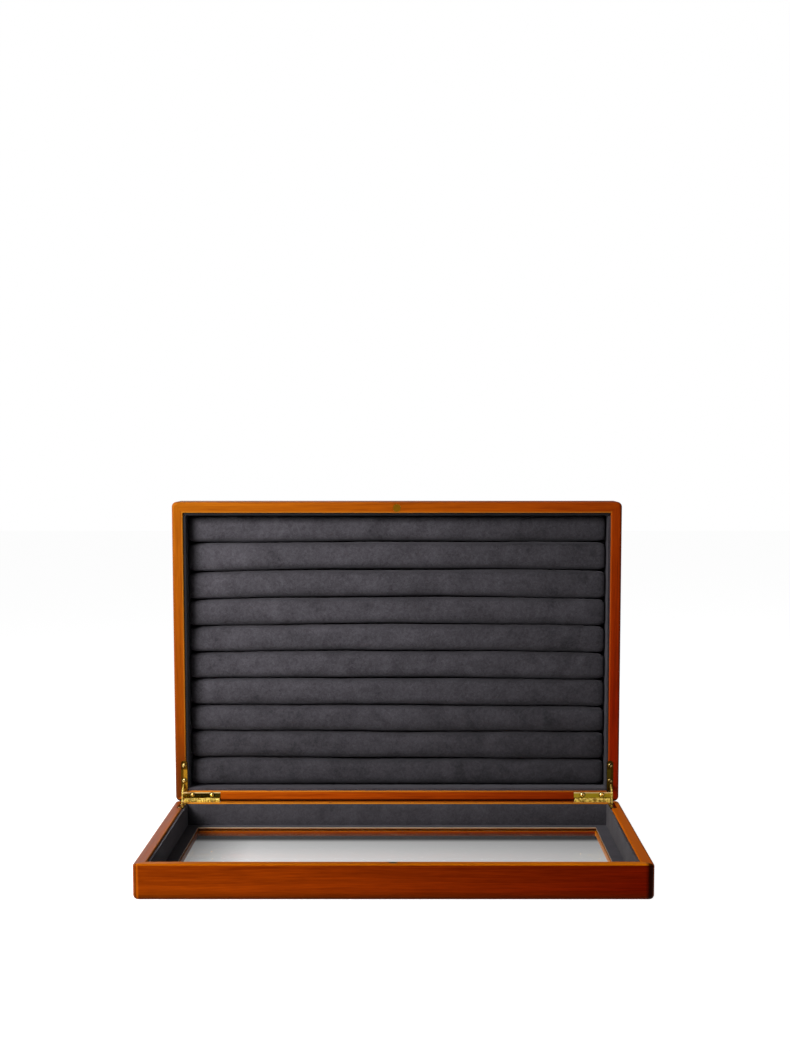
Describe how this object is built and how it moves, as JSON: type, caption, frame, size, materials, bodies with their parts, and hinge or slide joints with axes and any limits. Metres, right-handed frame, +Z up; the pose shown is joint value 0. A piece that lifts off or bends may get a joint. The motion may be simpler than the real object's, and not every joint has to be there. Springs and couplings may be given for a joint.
{
  "type": "ring display box",
  "caption": "Shallow wooden case, open at a right angle, with a glazed lid lying flat and a tray of padded velvet ring rolls standing up behind it on stay hinges.",
  "frame": {"origin": "bottom centre of the whole object's box, as it stands open; the lid's outer face is on the floor", "axes": "+X runs along the hinge, to the right as seen from the front; +Y goes from the lid's front edge to the tray at the back; +Z is up"},
  "size_m": [0.35, 0.2718, 0.26],
  "materials": {
    "wood": "glossy red-brown lacquer",
    "velvet": "charcoal velvet",
    "foam": "open foam",
    "brass": "polished",
    "magnet": "dull plating",
    "glass": "clear",
    "felt": "felt"
  },
  "bodies": {
    "lid": {"lid_front_rail": "wood", "lid_back_rail": "wood", "lid_left_rail": "wood", "lid_right_rail": "wood", "lid_window_panel": "wood", "lid_glass": "glass", "window_lining": "velvet", "lid_front_lining": "velvet", "lid_back_lining": "velvet", "lid_left_lining": "velvet", "lid_right_lining": "velvet", "lid_magnet": "magnet", "lid_hinge_leaf_left": "brass", "lid_hinge_leaf_right": "brass", "hinge_pin_left": "brass", "hinge_pin_right": "brass", "lid_hinge_screws": "brass"},
    "tray": {"tray_front_rail": "wood", "tray_back_rail": "wood", "tray_left_rail": "wood", "tray_right_rail": "wood", "tray_base": "wood", "base_felt": "felt", "base_lining": "velvet", "tray_front_lining": "velvet", "tray_back_lining": "velvet", "tray_left_lining": "velvet", "tray_right_lining": "velvet", "tray_magnet": "magnet", "tray_hinge_leaf_left": "brass", "tray_hinge_leaf_right": "brass", "tray_hinge_screws": "brass", "ring_roll_1": "velvet", "ring_roll_2": "velvet", "ring_roll_3": "velvet", "ring_roll_4": "velvet", "ring_roll_5": "velvet", "ring_roll_6": "velvet", "ring_roll_7": "velvet", "ring_roll_8": "velvet", "ring_roll_9": "velvet", "ring_roll_10": "velvet", "roll_foam_1": "foam", "roll_foam_2": "foam", "roll_foam_3": "foam", "roll_foam_4": "foam", "roll_foam_5": "foam", "roll_foam_6": "foam", "roll_foam_7": "foam", "roll_foam_8": "foam", "roll_foam_9": "foam", "roll_foam_10": "foam"},
    "stay_arm_left": {"stay_arm_left": "brass"},
    "stay_arm_right": {"stay_arm_right": "brass"}
  },
  "joints": [
    {"name": "tray_hinge", "type": "hinge", "parent": "lid", "child": "tray", "pos_m": [0, 0.09928, 0.02475], "axis": [1, 0, 0], "range_deg": [0, 90]},
    {"name": "stay_arm_left_slide", "type": "hinge", "parent": "lid", "child": "stay_arm_left", "pos_m": [0, 0.09928, 0.02475], "axis": [1, 0, 0], "range_deg": [0, 45]},
    {"name": "stay_arm_right_slide", "type": "hinge", "parent": "lid", "child": "stay_arm_right", "pos_m": [0, 0.09928, 0.02475], "axis": [1, 0, 0], "range_deg": [0, 45]}
  ],
  "couplings": [
    {"joint": "stay_arm_left_slide", "follows": "tray_hinge", "ratio": 0.5},
    {"joint": "stay_arm_right_slide", "follows": "tray_hinge", "ratio": 0.5}
  ]
}
